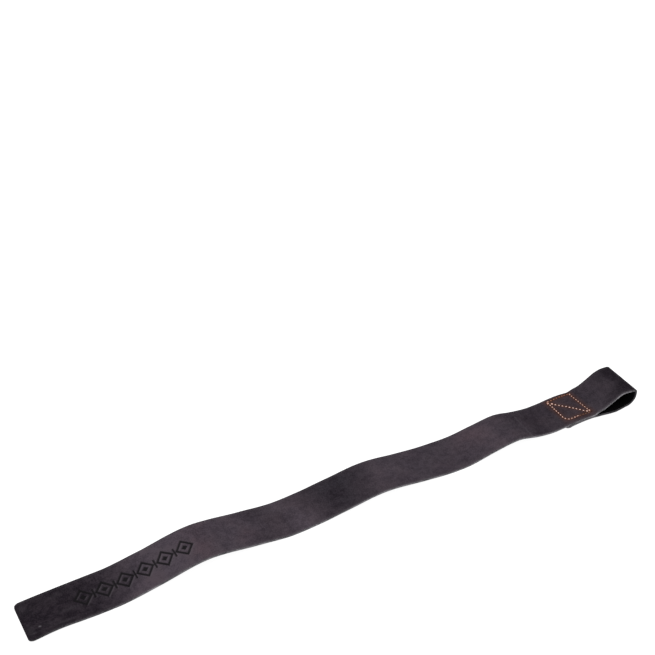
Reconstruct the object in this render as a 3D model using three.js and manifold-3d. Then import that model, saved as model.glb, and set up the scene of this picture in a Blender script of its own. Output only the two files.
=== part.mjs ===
// A leather lifting strap, laid out on a table.
//
// It is one strip of leather, cut square with its corners taken off. One end is folded under and sewn
// down flat, so that the fold stands open as a loop. The rest lies in long shallow waves, as leather
// does when it has been rolled up, with a slight sideways bow in plan.
//
// Millimetres, +Z up. The strap lies along X on the plane Z = 0, its free end at -X and its loop at +X.

import * as THREE from 'three';
import * as BufferGeometryUtils from 'three/addons/utils/BufferGeometryUtils.js';
import Module from 'manifold-3d';

const STRAP_WIDTH = 40;
const STRAP_THICKNESS = 2.2;
const LAID_LENGTH = 566; // free end to the loop's outer end, as it lies
const PLAN_BOW = 4; // how far the middle stands off the straight line between the ends
const WAVE_HEIGHT = 9.9; // underside of the highest wave
const LOOP_LENGTH = 47; // sewn patch to the loop's outer end
const LOOP_HEIGHT = 18.5; // over the top of the loop
const FLAP_LENGTH = 32.5; // flat stretch of the folded end that is sewn down
const LAYER_GAP = 0.3; // between the flap and the strap over it, around the sewing
const SEAM_SIDE_MARGIN = 4.5; // edge of the strap to the sewing
const SEAM_END_MARGIN = 2.5; // flap's end to the sewing, and the sewing to the loop
const CORNER_RADIUS = 4; // corners of the cut ends, in plan
const EDGE_RADIUS = 0.5; // worn edge of the leather, in section
const WAVE_STEP = 7; // length of a facet along the waves
const LOOP_STEP = 1.6; // length of a facet around the loop

// The waves. along: share of the single run from the free end to the flap. height: share of WAVE_HEIGHT.
const WAVES = [
  { along: 0, height: 0 },
  { along: 0.068, height: 0 },
  { along: 0.14, height: 0 },
  { along: 0.2, height: 0.35 },
  { along: 0.283, height: 1 },
  { along: 0.368, height: 0.43 },
  { along: 0.43, height: 0.02 },
  { along: 0.479, height: 0.09 },
  { along: 0.537, height: 0.4 },
  { along: 0.607, height: 0.75 },
  { along: 0.684, height: 0.31 },
  { along: 0.737, height: 0.04 },
  { along: 0.785, height: 0.03 },
  { along: 0.836, height: 0.41 },
  { along: 0.889, height: 0.74 },
  { along: 0.928, height: 0.36 },
  { along: 0.962, height: 0.14 },
];

// The strap over the flap. along: share of FLAP_LENGTH from the flap's end.
const OVER_FLAP = [{ along: -0.14 }, { along: 0.35 }, { along: 0.9 }];

// The loop, from the sewn patch over the top and back to the table. out: share of LOOP_LENGTH from
// the patch. height: share of the height between the middles of the bottom and top layers.
const LOOP = [
  { out: 0.076, height: 0.31 },
  { out: 0.209, height: 0.43 },
  { out: 0.347, height: 0.62 },
  { out: 0.6, height: 0.96 },
  { out: 0.786, height: 1 },
  { out: 0.957, height: 0.91 },
  { out: 0.965, height: 0.71 },
  { out: 0.945, height: 0.38 },
  { out: 0.866, height: 0.11 },
  { out: 0.681, height: 0 },
  { out: 0.4, height: 0 },
];

// The folded end under the strap. along: share of FLAP_LENGTH from the flap's end.
const FLAP = [{ along: 1 }, { along: 0.5 }, { along: 0 }];

const HALF_THICKNESS = STRAP_THICKNESS / 2;
const FLAP_LINE = LAID_LENGTH - LOOP_LENGTH - FLAP_LENGTH; // where the folded end stops
const PINCH_LINE = LAID_LENGTH - LOOP_LENGTH; // where the two layers part into the loop
const UPPER_LAYER = STRAP_THICKNESS + LAYER_GAP + HALF_THICKNESS; // middle of the layer over the flap

// Middle line of the leather seen from the side: x runs along the strap, z is up.
function middleLine() {
  const waves = WAVES.map((row) => new THREE.Vector3(
    row.along * FLAP_LINE,
    0,
    HALF_THICKNESS + row.height * WAVE_HEIGHT,
  ));
  const over = OVER_FLAP.map((row) => new THREE.Vector3(FLAP_LINE + row.along * FLAP_LENGTH, 0, UPPER_LAYER));
  const loop = LOOP.map((row) => new THREE.Vector3(
    PINCH_LINE + row.out * LOOP_LENGTH,
    0,
    HALF_THICKNESS + row.height * (LOOP_HEIGHT - STRAP_THICKNESS),
  ));
  const flap = FLAP.map((row) => new THREE.Vector3(FLAP_LINE + row.along * FLAP_LENGTH, 0, HALF_THICKNESS));
  const marks = [...waves, ...over, ...loop, ...flap];
  const curve = new THREE.CatmullRomCurve3(marks, false, 'centripetal');
  const points = [];
  for (let i = 0; i + 1 < marks.length; i += 1) {
    const step = i < waves.length ? WAVE_STEP : LOOP_STEP;
    const facets = Math.ceil(marks[i].distanceTo(marks[i + 1]) / step);
    for (let j = 0; j < facets; j += 1) {
      points.push(curve.getPoint((i + j / facets) / (marks.length - 1)));
    }
  }
  points.push(marks[marks.length - 1]);
  points.forEach((point) => {
    point.z = Math.max(point.z, HALF_THICKNESS);
  });
  return points;
}

// The middle line with an extra stop at each corner step of the two cut ends.
function withCornerStops(points) {
  const steps = [0.15, 0.5, 1].map((share) => share * CORNER_RADIUS);
  const first = points[0];
  const last = points[points.length - 1];
  const inFirst = new THREE.Vector3().subVectors(points[1], first).normalize();
  const inLast = new THREE.Vector3().subVectors(points[points.length - 2], last).normalize();
  const near = steps.map((step) => first.clone().addScaledVector(inFirst, step));
  const far = steps.map((step) => last.clone().addScaledVector(inLast, step)).reverse();
  const between = points.slice(1, -1).filter((point) => (
    point.distanceTo(first) > 1.5 * CORNER_RADIUS && point.distanceTo(last) > 1.5 * CORNER_RADIUS
  ));
  return [first, ...near, ...between, ...far, last];
}

// Half the strap's width at a distance from its nearer cut end: a quarter round at each corner.
function halfWidth(fromEnd) {
  const short = Math.max(CORNER_RADIUS - fromEnd, 0);
  return STRAP_WIDTH / 2 - CORNER_RADIUS + Math.sqrt(CORNER_RADIUS ** 2 - short ** 2);
}

// Outline of the leather across its width: across is sideways, up is through the thickness.
function section(half) {
  const corners = [
    { across: 1, up: 1, start: 0 },
    { across: -1, up: 1, start: 90 },
    { across: -1, up: -1, start: 180 },
    { across: 1, up: -1, start: 270 },
  ];
  return corners.flatMap((corner) => [0, 45, 90].map((turn) => {
    const angle = THREE.MathUtils.degToRad(corner.start + turn);
    return {
      across: corner.across * (half - EDGE_RADIUS) + EDGE_RADIUS * Math.cos(angle),
      up: corner.up * (HALF_THICKNESS - EDGE_RADIUS) + EDGE_RADIUS * Math.sin(angle),
    };
  }));
}

// A point of the laid strap: the bow bends the straight strap into an arc seen from above.
function bowed(along, across, up) {
  const turnPerLength = (8 * PLAN_BOW) / LAID_LENGTH ** 2;
  const angle = -turnPerLength * (along - LAID_LENGTH / 2);
  const radius = 1 / turnPerLength + across;
  return [-radius * Math.sin(angle), radius * Math.cos(angle) - 1 / turnPerLength, up];
}

// Leather skin: one section at every stop of the middle line, joined to the next, with capped ends.
function stripGeometry() {
  const stops = withCornerStops(middleLine());
  const travelled = [0];
  for (let i = 1; i < stops.length; i += 1) {
    travelled.push(travelled[i - 1] + stops[i].distanceTo(stops[i - 1]));
  }
  const total = travelled[travelled.length - 1];
  const positions = [];
  stops.forEach((stop, i) => {
    const before = stops[Math.max(i - 1, 0)];
    const after = stops[Math.min(i + 1, stops.length - 1)];
    const ahead = new THREE.Vector3().subVectors(after, before).normalize();
    const half = halfWidth(Math.min(travelled[i], total - travelled[i]));
    section(half).forEach(({ across, up }) => {
      positions.push(...bowed(stop.x - ahead.z * up, across, stop.z + ahead.x * up));
    });
  });
  const around = section(STRAP_WIDTH / 2).length;
  const index = [];
  for (let i = 0; i + 1 < stops.length; i += 1) {
    for (let j = 0; j < around; j += 1) {
      const a = i * around + j;
      const b = i * around + ((j + 1) % around);
      index.push(a, b, a + around, b, b + around, a + around);
    }
  }
  const lastRing = (stops.length - 1) * around;
  for (let j = 1; j + 1 < around; j += 1) {
    index.push(0, j + 1, j, lastRing, lastRing + j, lastRing + j + 1);
  }
  const geometry = new THREE.BufferGeometry();
  geometry.setAttribute('position', new THREE.Float32BufferAttribute(positions, 3));
  geometry.setIndex(index);
  return geometry;
}

// The sewn patch: where the thread pulls the flap and the strap together there is no gap.
function patchGeometry() {
  const length = FLAP_LENGTH - 2 * SEAM_END_MARGIN;
  const width = STRAP_WIDTH - 2 * SEAM_SIDE_MARGIN;
  const [x, y, z] = bowed(FLAP_LINE + FLAP_LENGTH / 2, 0, STRAP_THICKNESS + LAYER_GAP / 2);
  const [aheadX, aheadY] = bowed(FLAP_LINE + FLAP_LENGTH, 0, 0);
  const geometry = new THREE.BoxGeometry(length, width, LAYER_GAP + STRAP_THICKNESS);
  geometry.rotateZ(Math.atan2(aheadY - y, aheadX - x));
  geometry.translate(x, y, z);
  return geometry;
}

const wasm = await Module();
wasm.setup();

function toSolid(geometry) {
  const bare = geometry.clone();
  bare.deleteAttribute('normal');
  bare.deleteAttribute('uv');
  const merged = BufferGeometryUtils.mergeVertices(bare);
  return new wasm.Manifold(new wasm.Mesh({
    numProp: 3,
    vertProperties: merged.attributes.position.array,
    triVerts: new Uint32Array(merged.index.array),
  }));
}

function toGeometry(solid) {
  const mesh = solid.getMesh();
  const geometry = new THREE.BufferGeometry();
  geometry.setAttribute('position', new THREE.BufferAttribute(mesh.vertProperties, 3));
  geometry.setIndex(new THREE.BufferAttribute(mesh.triVerts, 1));
  return geometry;
}

// The whole strap as one solid, centred over the origin with its underside on Z = 0.
function strapGeometry() {
  const geometry = toGeometry(toSolid(stripGeometry()).add(toSolid(patchGeometry())));
  geometry.computeBoundingBox();
  const centre = geometry.boundingBox.getCenter(new THREE.Vector3());
  geometry.translate(-centre.x, -centre.y, -geometry.boundingBox.min.z);
  geometry.computeVertexNormals();
  return geometry;
}

const leather = new THREE.MeshStandardMaterial({ color: 0x40383f, roughness: 0.75, metalness: 0 });

const strap = new THREE.Mesh(strapGeometry(), leather);
strap.name = 'leather_strap';

const liftingStrap = new THREE.Group();
liftingStrap.name = 'lifting_strap';
liftingStrap.add(strap);

export default liftingStrap;
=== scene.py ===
# %% [markdown]
# # A leather lifting strap, laid out on a table
#
# The real strap is one strip of dark waxed leather, 40 mm wide and a little over 2 mm thick. One
# end is folded back under the strip and sewn down, which leaves an open loop. This lesson makes
# three things: the leather, the thread that holds the fold, and the studio round them. The packed
# model is loaded first, because it says how big everything is and where it lies.

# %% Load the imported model
import math

import bpy
import numpy as np
from mathutils import Matrix, Vector


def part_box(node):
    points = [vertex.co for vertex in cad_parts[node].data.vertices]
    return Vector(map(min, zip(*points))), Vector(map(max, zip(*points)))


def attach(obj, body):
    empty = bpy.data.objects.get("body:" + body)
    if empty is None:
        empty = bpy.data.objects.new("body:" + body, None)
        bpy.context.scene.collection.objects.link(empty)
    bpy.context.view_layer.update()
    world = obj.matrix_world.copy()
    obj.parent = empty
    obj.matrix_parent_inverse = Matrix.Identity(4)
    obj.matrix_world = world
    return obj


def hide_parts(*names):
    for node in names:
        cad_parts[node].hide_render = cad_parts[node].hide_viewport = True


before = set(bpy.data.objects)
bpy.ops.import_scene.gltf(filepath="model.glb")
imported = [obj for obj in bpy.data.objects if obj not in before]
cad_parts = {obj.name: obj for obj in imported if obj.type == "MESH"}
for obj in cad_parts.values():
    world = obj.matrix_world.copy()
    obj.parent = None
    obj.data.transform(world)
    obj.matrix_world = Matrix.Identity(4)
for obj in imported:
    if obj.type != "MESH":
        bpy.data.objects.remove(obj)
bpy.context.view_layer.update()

MM = 0.001
node_low, node_high = (np.array(corner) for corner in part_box("leather_strap"))
print("strap, mm:", np.round((node_high - node_low) / MM, 1))

# %% [markdown]
# ## Sizes
#
# The sizes are those of the leather itself, so they are the ones a leather worker would cut and
# fold by. The shares in the tables say where the strap rises and falls. Keeping them as shares
# means that a longer strap would have longer waves of the same form.

# %% Sizes of the leather
STRAP_WIDTH = 40 * MM
STRAP_THICKNESS = 2.2 * MM
LAID_LENGTH = 566 * MM
PLAN_BOW = 4 * MM
WAVE_HEIGHT = 9.9 * MM
LOOP_LENGTH = 47 * MM
LOOP_HEIGHT = 18.5 * MM
FLAP_LENGTH = 32.5 * MM
LAYER_GAP = 0.3 * MM
CORNER_RADIUS = 4 * MM
EDGE_RADIUS = 0.5 * MM

HALF_THICKNESS = STRAP_THICKNESS / 2
PINCH_LINE = LAID_LENGTH - LOOP_LENGTH
FLAP_LINE = PINCH_LINE - FLAP_LENGTH
UPPER_LAYER = STRAP_THICKNESS + LAYER_GAP + HALF_THICKNESS
print("flap and loop begin at, mm:", np.round([FLAP_LINE / MM, PINCH_LINE / MM], 1).tolist())

# %% Where the strap rises and falls
WAVES = np.array(
    [
        (0, 0), (0.068, 0), (0.14, 0), (0.2, 0.35), (0.283, 1), (0.368, 0.43),
        (0.43, 0.02), (0.479, 0.09), (0.537, 0.4), (0.607, 0.75), (0.684, 0.31), (0.737, 0.04),
        (0.785, 0.03), (0.836, 0.41), (0.889, 0.74), (0.928, 0.36), (0.962, 0.14),
    ],
    dtype=[("along", float), ("height", float)],
)
LOOP = np.array(
    [
        (0.076, 0.31), (0.209, 0.43), (0.347, 0.62), (0.6, 0.96), (0.786, 1), (0.957, 0.91),
        (0.965, 0.71), (0.945, 0.38), (0.866, 0.11), (0.681, 0), (0.4, 0),
    ],
    dtype=[("out", float), ("height", float)],
)
OVER_FLAP = np.array([-0.14, 0.35, 0.9])
FLAP = np.array([1, 0.5, 0])
print("highest wave, mm:", round(float(WAVES["height"].max()) * WAVE_HEIGHT / MM, 1))

# %% [markdown]
# ## Model it flat, then lay it out
#
# Leather work is easiest to describe flat on the bench: how far along the strip, how far across
# it, how deep into it. So every piece here is worked out in those three numbers, and one function
# called lay bends them into the laid-out shape. The strip, the pressed ornament and each stitch
# all pass through it, so they always fit each other.
#
# The side view of the strap is a centripetal Catmull-Rom curve through the rows of the tables. It
# passes through each row without overshooting much, as springy leather does.


# %% The strap's middle line, seen from the side
def catmull_rom(marks, per_span=60):
    """Points on a smooth curve through marks. In each span the two end slopes come from the
    neighbouring marks, weighted by the square roots of their distances, and a cubic joins them."""
    p = np.vstack([2 * marks[0] - marks[1], marks, 2 * marks[-1] - marks[-2]])
    p0, p1, p2, p3 = p[:-3], p[1:-2], p[2:-1], p[3:]
    gaps = np.linalg.norm(np.diff(p, axis=0), axis=1)[:, None] ** 0.5
    d0, d1, d2 = gaps[:-2], gaps[1:-1], gaps[2:]
    slope1 = ((p1 - p0) / d0 - (p2 - p0) / (d0 + d1) + (p2 - p1) / d1) * d1
    slope2 = ((p2 - p1) / d1 - (p3 - p1) / (d1 + d2) + (p3 - p2) / d2) * d1
    t = np.linspace(0, 1, per_span, endpoint=False)[None, :, None]
    cubic = (2 * p1 - 2 * p2 + slope1 + slope2)[:, None] * t**3
    square = (-3 * p1 + 3 * p2 - 2 * slope1 - slope2)[:, None] * t**2
    spans = p1[:, None] + slope1[:, None] * t + square + cubic
    return np.vstack([spans.reshape(-1, p.shape[1]), p[-2]])


def middle_line():
    """Side view of the middle of the leather: waves, the layer over the flap, the loop and the
    flap, one after another. Nothing sinks into the table."""
    rise = LOOP_HEIGHT - STRAP_THICKNESS
    rows = [
        (WAVES["along"] * FLAP_LINE, HALF_THICKNESS + WAVES["height"] * WAVE_HEIGHT),
        (FLAP_LINE + OVER_FLAP * FLAP_LENGTH, np.full(len(OVER_FLAP), UPPER_LAYER)),
        (PINCH_LINE + LOOP["out"] * LOOP_LENGTH, HALF_THICKNESS + LOOP["height"] * rise),
        (FLAP_LINE + FLAP * FLAP_LENGTH, np.full(len(FLAP), HALF_THICKNESS)),
    ]
    line = catmull_rom(np.hstack([np.vstack(row) for row in rows]).T)
    line[:, 1] = np.maximum(line[:, 1], HALF_THICKNESS)
    return line


line = middle_line()
steps = np.linalg.norm(np.diff(line, axis=0), axis=1)
line_s = np.concatenate([[0], np.cumsum(steps)])
slopes = np.gradient(line, line_s, axis=0)
line_angle = np.unwrap(np.arctan2(slopes[:, 1], slopes[:, 0]))
CUT_LENGTH = float(line_s[-1])
outermost = int(np.argmax(line[:, 0]))
print("cut length of the leather, mm:", round(CUT_LENGTH / MM, 1))
print("length to the loop's outer end, mm:", round(line_s[outermost] / MM, 1))


# %% From flat leather to the laid-out strap
def lay(s, across, depth):
    """Points in space of flat leather coordinates: s along the strip, across it, and depth up
    from its middle. The side curve carries s and depth, and an arc seen from above bends the
    whole strip sideways by the bow."""
    angle = np.interp(s, line_s, line_angle)
    along = np.interp(s, line_s, line[:, 0]) - np.sin(angle) * depth
    up = np.interp(s, line_s, line[:, 1]) + np.cos(angle) * depth
    turn_per_length = 8 * PLAN_BOW / LAID_LENGTH**2
    turn = turn_per_length * (LAID_LENGTH / 2 - along)
    radius = 1 / turn_per_length + across
    return np.stack([-radius * np.sin(turn), radius * np.cos(turn) - 1 / turn_per_length, up], axis=-1)


def upper_s(along):
    """Length along the strip of the upper layer at a distance along the table."""
    return np.interp(along, line[:outermost, 0], line_s[:outermost])


def lower_s(along):
    """Length along the strip of the flap, which runs back under the strap."""
    return np.interp(-along, -line[outermost:, 0], line_s[outermost:])


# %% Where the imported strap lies
def edge_line(sideways, face):
    """One of the strip's four long edges, laid out."""
    across = np.full(len(line_s), sideways * STRAP_WIDTH / 2)
    return lay(line_s, across, np.full(len(line_s), face * HALF_THICKNESS))


four_edges = np.vstack([edge_line(sideways, face) for sideways in (-1, 1) for face in (-1, 1)])
PLACE = (node_low + node_high) / 2 - (four_edges.min(axis=0) + four_edges.max(axis=0)) / 2
PLACE[2] = node_low[2]
print("middle of the strap placed at, mm:", np.round(PLACE / MM, 2))

# %% [markdown]
# ## Small shapes pressed into the leather
#
# Three things mark the smooth side: a tooled border near the free end, a fold line near the seam,
# and the thread, which pulls the leather down where it lies. They could be bump alone, but close
# views and other lights show bump up, so they move the surface itself. Each is a function of the
# flat coordinates that returns a depth, and the depths are added.


# %% Helpers for soft edges, bells and gentle unevenness
LATTICE = 97


def soft_step(x, width):
    """0 below -width, 1 above width, and a smooth cubic ramp between."""
    t = np.clip(x / (2 * width) + 0.5, 0, 1)
    return t * t * (3 - 2 * t)


def grow(x):
    """0 up to 0, 1 from 1 on, and the same smooth ramp between."""
    return soft_step(x - 0.5, 0.5)


def bell(x):
    """1 at 0, about a third at 1 and next to nothing from 2 on."""
    return np.exp(-(x**2))


def humps(s, across, long, wide, seed):
    """Smooth random heights from -1 to 1, in humps about as long and wide as asked: a random
    number at each crossing of a grid, blended between the four nearest with cubic weights."""
    lattice = np.random.default_rng(seed).uniform(-1, 1, (LATTICE, LATTICE))
    u, v = s / long, across / wide
    iu, iv = np.floor(u).astype(int), np.floor(v).astype(int)
    tu, tv = u - iu, v - iv
    tu, tv = tu * tu * (3 - 2 * tu), tv * tv * (3 - 2 * tv)

    def at(a, b):
        return lattice[a % LATTICE, b % LATTICE]

    low = at(iu, iv) * (1 - tu) + at(iu + 1, iv) * tu
    high = at(iu, iv + 1) * (1 - tu) + at(iu + 1, iv + 1) * tu
    return low * (1 - tv) + high * tv


# %% A tooled border of lozenges near the free end
BORDER_START = 38 * MM
BORDER_LENGTH = 98 * MM
LOZENGES = 6
PRESS_DEPTH = 0.4 * MM
RIM_SHIFT = np.array([0.7, -0.7]) * MM
RIM_HEIGHT = 0.08 * MM

# Marks are measured out from their own middles, so these are half lengths and half widths.
LOZENGE_LONG = 6.4 * MM
LOZENGE_TALL = 7.4 * MM
GROOVE = 0.9 * MM
PIP = 2.6 * MM
BAR = 0.72 * MM
BAR_TALL = 4.6 * MM
TOOL_EDGE = 0.3 * MM
PIP_EDGE = 0.4 * MM


def border_mark(s, across):
    """How far the tools pressed the border in, from 0 to 1. On a lozenge's line its two shares add
    up to one, and what they are over one, divided by the slope of that sum, is the distance from
    the line. The groove is a band round the line, with a small solid lozenge in the middle and an
    upright bar between neighbours."""
    pitch = BORDER_LENGTH / LOZENGES
    place = (s - BORDER_START) / pitch
    inside = (place > 0) & (place < LOZENGES)
    between = (place > 0.5) & (place < LOZENGES - 0.5)
    ds, dv = np.abs((place - np.floor(place) - 0.5) * pitch), np.abs(across)
    slope = math.hypot(LOZENGE_LONG, LOZENGE_TALL) / (LOZENGE_LONG * LOZENGE_TALL)
    from_line = (ds / LOZENGE_LONG + dv / LOZENGE_TALL - 1) / slope
    groove = soft_step(GROOVE - np.abs(from_line), TOOL_EDGE)
    pip = soft_step(PIP - ds - dv, PIP_EDGE)
    bar = soft_step(BAR - (pitch / 2 - ds), TOOL_EDGE) * soft_step(BAR_TALL - dv, TOOL_EDGE)
    return np.where(inside, np.maximum(np.maximum(groove, pip), np.where(between, bar, 0)), 0)


# %% The fold line near the seam
FOLD_LINE = 448.4 * MM
FOLD_SKEW = 2.9 * MM
FOLD_WIDTH = 0.9 * MM
FOLD_HEIGHT = 0.16 * MM


def fold_mark(s, across):
    """A low ridge right across the strap, a little askew: a bell over the distance from its line."""
    middle = upper_s(FOLD_LINE) + across / (STRAP_WIDTH / 2) * FOLD_SKEW
    return bell((s - middle) / FOLD_WIDTH)


# %% [markdown]
# ## The seam
#
# A box of stitches with one diagonal holds the fold. It was sewn without a break: round the box
# from the far corner, then along the diagonal, with a few stitches sewn twice where runs start and
# stop. The route is a short list of runs, each cut into equal stitches. One table says how far the
# machine pulled each run into the leather, in mm, and how pale it is, from painted shade to painted
# highlight. Another says which stitches were sewn twice, and how far aside the second one lies, in mm.

# %% Route of the stitches
SEAM_START = 488.9 * MM
SEAM_END = 516.8 * MM
SEAM_NEAR = -14.3 * MM
FAR_START = np.array([490.8, 16.0]) * MM
FAR_END = np.array([516.7, 17.3]) * MM
NEAR_END = np.array([516.2, -14.3]) * MM
BREAK_OFF = np.array([502.8, -14.3]) * MM
DIAGONAL = np.array([[491.8, 12.8], [514.7, -13.5]]) * MM
STITCH_PITCH = 3.2 * MM
ROUNDED_CORNER = 4.5 * MM
CORNER_STEPS = 9
RUNS = np.array(
    [
        ("far side", 0.28, 0.38), ("loop side", 0, 0.8), ("near side", 0.42, 0.1),
        ("rounded corner", 0, 0.85), ("flap side", 0.08, 0.85), ("diagonal", 0.2, 1),
    ],
    dtype=[("run", "U16"), ("pull", float), ("pale", float)],
)
DOUBLED = np.array(
    [
        ("far side", 0, -0.8, 0.2), ("flap side", -1, -0.7, -0.2), ("diagonal", 0, 0.5, 0.4),
        ("diagonal", -1, 0.5, 0.4), ("loop side", -1, 0.5, 0.4), ("loop side", 0, 0.4, 0.1),
    ],
    dtype=[("run", "U16"), ("stitch", int), ("along", float), ("across", float)],
)
DOUBLED_PALE = 0.75


def seam_routes():
    """The runs of the seam in the order of the table, each as points (along, across). One corner is
    rounded: a quarter circle from the near side to the flap side."""
    turn = np.radians(np.linspace(0, 90, CORNER_STEPS))
    rounded = np.stack(
        [
            SEAM_START + ROUNDED_CORNER * (1 - np.sin(turn)),
            SEAM_NEAR + ROUNDED_CORNER * (1 - np.cos(turn)),
        ],
        axis=1,
    )
    return [
        [FAR_START, FAR_END],
        [FAR_END, NEAR_END],
        [NEAR_END, BREAK_OFF],
        [BREAK_OFF, *rounded],
        [rounded[-1], FAR_START],
        DIAGONAL,
    ]


def stitch_ends():
    """Needle holes as an array of (first, last) points, with the pull and paleness of each stitch:
    each run is walked in equal steps close to the stitch pitch. The doubled stitches come last, as
    copies of single ones moved a little aside, and aren't pulled in."""
    pairs = []
    for route in seam_routes():
        route = np.array(route)
        walked = np.concatenate([[0], np.cumsum(np.linalg.norm(np.diff(route, axis=0), axis=1))])
        holes = np.linspace(0, walked[-1], round(walked[-1] / STITCH_PITCH) + 1)
        points = np.stack([np.interp(holes, walked, route[:, k]) for k in (0, 1)], axis=1)
        pairs.append(np.stack([points[:-1], points[1:]], axis=1))
    counts = [len(pair) for pair in pairs]
    number = {run: k for k, run in enumerate(RUNS["run"])}
    under = np.stack([pairs[number[row["run"]]][row["stitch"]] for row in DOUBLED])
    aside = np.stack([DOUBLED["along"], DOUBLED["across"]], axis=1) * MM
    doubled = under + aside[:, None]
    pulls = np.concatenate([np.repeat(RUNS["pull"] * MM, counts), np.zeros(len(doubled))])
    pales = np.concatenate([np.repeat(RUNS["pale"], counts), np.full(len(doubled), DOUBLED_PALE)])
    return np.concatenate([*pairs, doubled]), pulls, pales


stitches, stitch_pull, stitch_pale = stitch_ends()
print("stitches on each side:", len(stitches))


# %% How the thread dents the leather
THREAD_RADIUS = 0.42 * MM
HOLE_RADIUS = 0.8 * MM
HOLE_DEPTH = 0.5 * MM
TRENCH_WIDTH = 0.95 * MM
TRENCH_DEPTH = 0.28 * MM
TRENCH_PULL = 0.6  # share of a stitch's pull that its trench follows
TRENCH_SHADE = 0.6  # how dark a trench is beside a needle hole
STAIN_WIDTH = 1.7 * MM
HALO_WIDTH = 6.8 * MM
HALO_SHARE = 0.25  # share of the stain that has spread to the halo's width


def seam_dents(along, across):
    """Depth of the dents, how much painted shade each point takes from holes and trenches, and how
    far the thread's dye has stained it. The distance to each stitch is that to the nearest point of
    its segment, and a stitch that is pulled in presses its trench deeper. The stain is a narrow bell
    and a wide one, added."""
    here = np.stack([along, across], axis=-1)[:, None]
    first, last = stitches[None, :, 0], stitches[None, :, 1]
    run = last - first
    share = np.clip(((here - first) * run).sum(-1) / (run**2).sum(-1), 0, 1)
    to_thread = np.linalg.norm(here - first - share[..., None] * run, axis=-1)
    to_hole = np.linalg.norm(here - stitches.reshape(1, -1, 2), axis=-1).min(axis=1)
    hole = bell(to_hole / HOLE_RADIUS)
    deep = TRENCH_DEPTH + TRENCH_PULL * stitch_pull
    trench = (deep * bell(to_thread / TRENCH_WIDTH)).max(axis=1)
    nearest = to_thread.min(axis=1)
    stain = (1 - HALO_SHARE) * bell(nearest / STAIN_WIDTH) + HALO_SHARE * bell(nearest / HALO_WIDTH)
    return trench + HOLE_DEPTH * hole, np.maximum(hole, TRENCH_SHADE * trench / TRENCH_DEPTH), stain


# %% [markdown]
# ## The leather
#
# The strip is a grid with two parameters: the distance along it, and the way round its section,
# over the smooth side, down one cut edge, back along the suede side and up the other edge. A
# plane with a Solidify modifier would be quicker, but its edges would be sharp and its two
# sides the same. The grid's rows stand closer together where something small is pressed in.


# %% Rows along the strip and columns round its section
TOP_COLUMNS = 57
UNDER_COLUMNS = 37
ROUND_COLUMNS = 3
WALL_COLUMNS = 4
PLAIN_STEP = 1.5 * MM
BORDER_STEP = 0.62 * MM
SEAM_STEP = 0.45 * MM
LOOP_STEP = 1.1 * MM
FLAP_STEP = 0.55 * MM
FOLD_STEP = 0.5 * MM
SEAM_MARGIN = 3 * MM
FOLD_MARGIN = 7 * MM
END_ROUNDING = 0.45 * MM
TIP_ROWS = np.array([0, 0.08, 0.3, 0.6, 1, 2, 3.2])  # in end roundings
TIP_GAP = 1 * MM
PROBES = 20001


def row_places():
    """Distances along the strip. The step is coarse on plain leather and fine on the border, the
    seam, the loop and the cut ends; its inverse is summed up and read back at equal counts."""
    s = np.linspace(0, CUT_LENGTH, PROBES)
    step = np.full(len(s), PLAIN_STEP)
    zones = [
        (BORDER_START, BORDER_START + BORDER_LENGTH, BORDER_STEP),
        (upper_s(SEAM_START) - SEAM_MARGIN, upper_s(SEAM_END) + SEAM_MARGIN, SEAM_STEP),
        (upper_s(SEAM_END) + SEAM_MARGIN, lower_s(SEAM_END) - SEAM_MARGIN, LOOP_STEP),
        (lower_s(SEAM_END) - SEAM_MARGIN, CUT_LENGTH, FLAP_STEP),
        (upper_s(FOLD_LINE) - FOLD_MARGIN, upper_s(FOLD_LINE) + FOLD_MARGIN, FOLD_STEP),
    ]
    for start, end, fine in zones:
        step[(s >= start) & (s <= end)] = fine
    count = np.concatenate([[0], np.cumsum(np.diff(s) / step[1:])])
    rows = np.interp(np.linspace(0, count[-1], round(count[-1]) + 1), count, s)
    tips = END_ROUNDING * TIP_ROWS
    rows = rows[(rows > tips[-1] + TIP_GAP) & (rows < CUT_LENGTH - tips[-1] - TIP_GAP)]
    return np.concatenate([tips, rows, CUT_LENGTH - tips[::-1]])


def section_columns():
    """Round the section: shares of the flat half width and half thickness, the turn of the rounded
    edge as a cosine and a sine, and which of the eight sides a column is on. It starts on the far
    side and goes over the top, down the near wall, back along the underside and up the far wall."""
    round_turn = np.linspace(0, 90, ROUND_COLUMNS + 2)[1:-1]
    wall = np.linspace(1, -1, WALL_COLUMNS)
    sides = [
        (np.linspace(1, -1, TOP_COLUMNS), 1, 90),
        (-1, 1, 90 + round_turn),
        (-1, wall, 180),
        (-1, -1, 180 + round_turn),
        (np.linspace(-1, 1, UNDER_COLUMNS), -1, 270),
        (1, -1, 270 + round_turn),
        (1, -wall, 0),
        (1, 1, round_turn),
    ]
    sides = [np.broadcast_arrays(*columns) for columns in sides]
    share, level, degrees = (np.concatenate(column).astype(float) for column in zip(*sides))
    side = np.repeat(np.arange(len(sides)), [len(columns[0]) for columns in sides])
    angle = np.radians(degrees)
    return share, level, np.cos(angle), np.sin(angle), side


rows = row_places()
share, level, cosine, sine, side = section_columns()
print("grid:", len(rows), "rows of", len(share), "points")


# %% The strip's surface in flat coordinates
UNEVEN_CUT = 0.14 * MM
CUT_BAND = 1.5 * MM
FINE_WANDER = 0.45


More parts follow.
